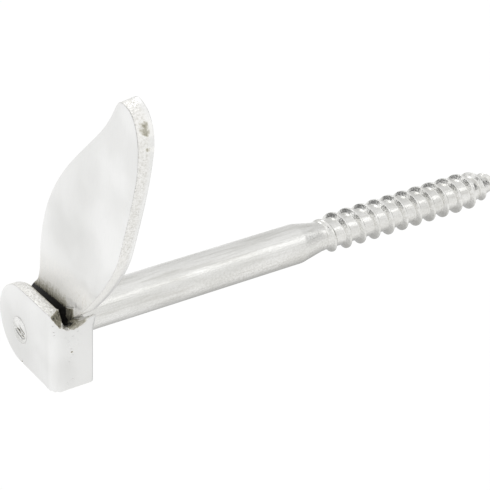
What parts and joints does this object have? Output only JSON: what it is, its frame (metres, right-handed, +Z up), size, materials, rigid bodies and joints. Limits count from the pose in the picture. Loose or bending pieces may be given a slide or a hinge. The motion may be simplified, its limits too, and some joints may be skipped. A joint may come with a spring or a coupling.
{
  "type": "shutter holdback",
  "caption": "Folded strap head with a curved holding leaf, turning on a round steel shank with a coarse wood thread.",
  "frame": {"origin": "on the shank's axis, at the shoulder of the plain rod behind the head", "axes": "+X along the shank into the wall, +Z up along the leaf as it holds the shutter, -Y towards the fold of the strap"},
  "size_m": [0.1406, 0.0432, 0.0736],
  "materials": {
    "zinc_plated_rod": "zinc-plated drawn rod, semi-bright",
    "zinc_plated_sheet": "zinc-plated stamped sheet, satin"
  },
  "bodies": {
    "shank": {"shank": "zinc_plated_rod"},
    "head": {"head": "zinc_plated_sheet"}
  },
  "joints": [
    {"name": "head_turn", "type": "hinge", "parent": "shank", "child": "head", "pos_m": [0, 0, 0], "axis": [1, 0, 0], "continuous": true}
  ]
}
